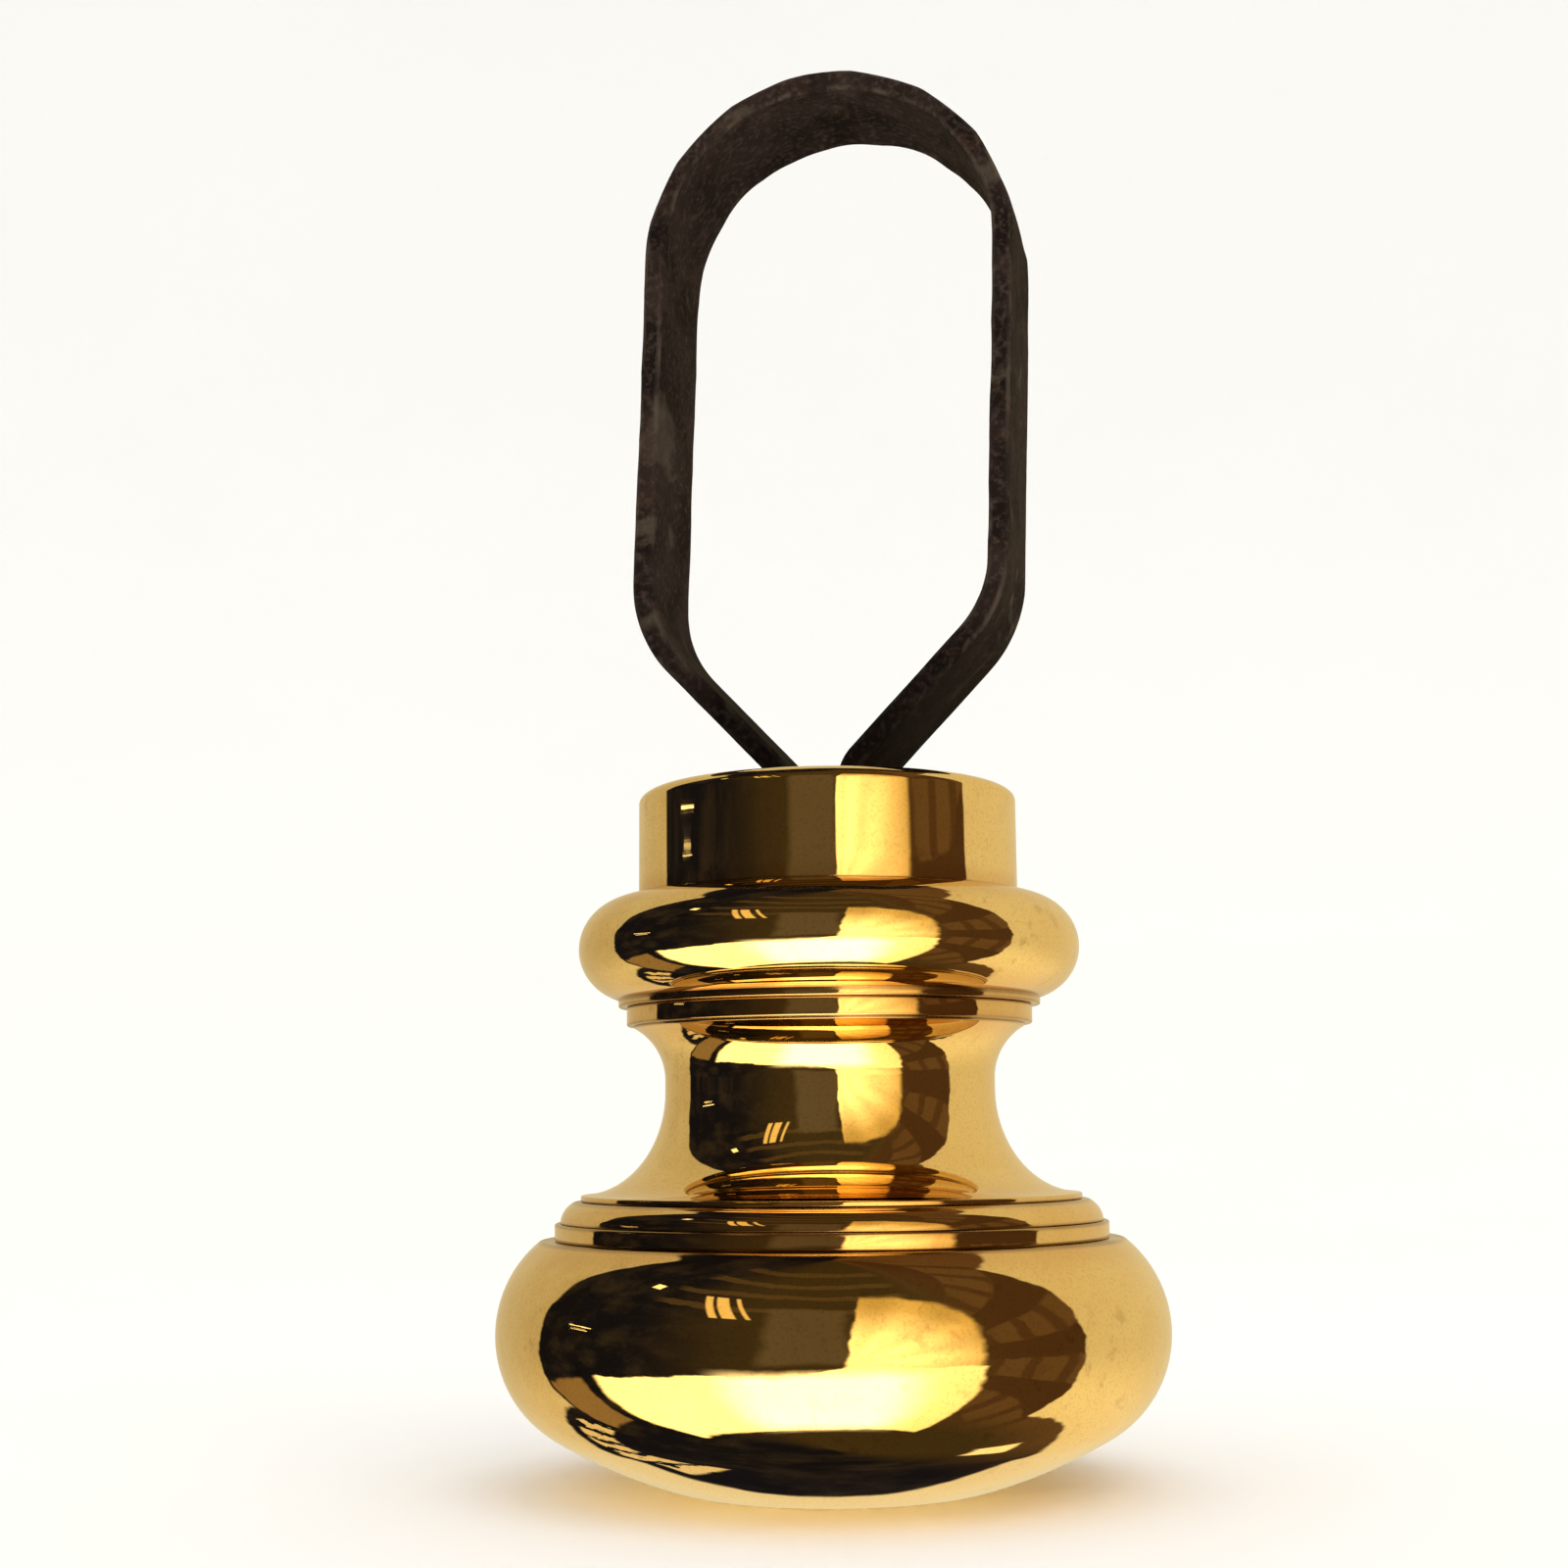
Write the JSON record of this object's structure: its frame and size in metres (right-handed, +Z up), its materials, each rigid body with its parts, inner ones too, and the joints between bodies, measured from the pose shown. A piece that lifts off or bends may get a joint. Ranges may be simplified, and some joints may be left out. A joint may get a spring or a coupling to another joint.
{
  "type": "handled desk press weight",
  "caption": "Turned brass press weight with a rounded bulb foot, waisted neck and collar, lifted by a tall forged flat-bar loop handle.",
  "frame": {"origin": "centre of the flat foot, on the ground plane", "axes": "+Z up along the turned axis; the loop handle lies in the XZ plane, its opening facing -Y and +Y"},
  "size_m": [0.0884, 0.0884, 0.1912],
  "materials": {
    "polished_brass": "mirror polished, faint turning lines",
    "forged_iron": "black-brown forge scale, worn edges",
    "plain_steel": "plain machined"
  },
  "bodies": {
    "root": {"foot_bulb": "polished_brass", "step_ring": "polished_brass", "bead_ring": "polished_brass", "neck_scotia": "polished_brass", "fillet_ring": "polished_brass", "torus_ring": "polished_brass", "collar_cap": "polished_brass", "handle_strap": "forged_iron", "anchor_block": "plain_steel", "anchor_rivet": "plain_steel", "tie_rod": "plain_steel", "base_washer": "plain_steel", "base_nut": "plain_steel"}
  },
  "joints": []
}
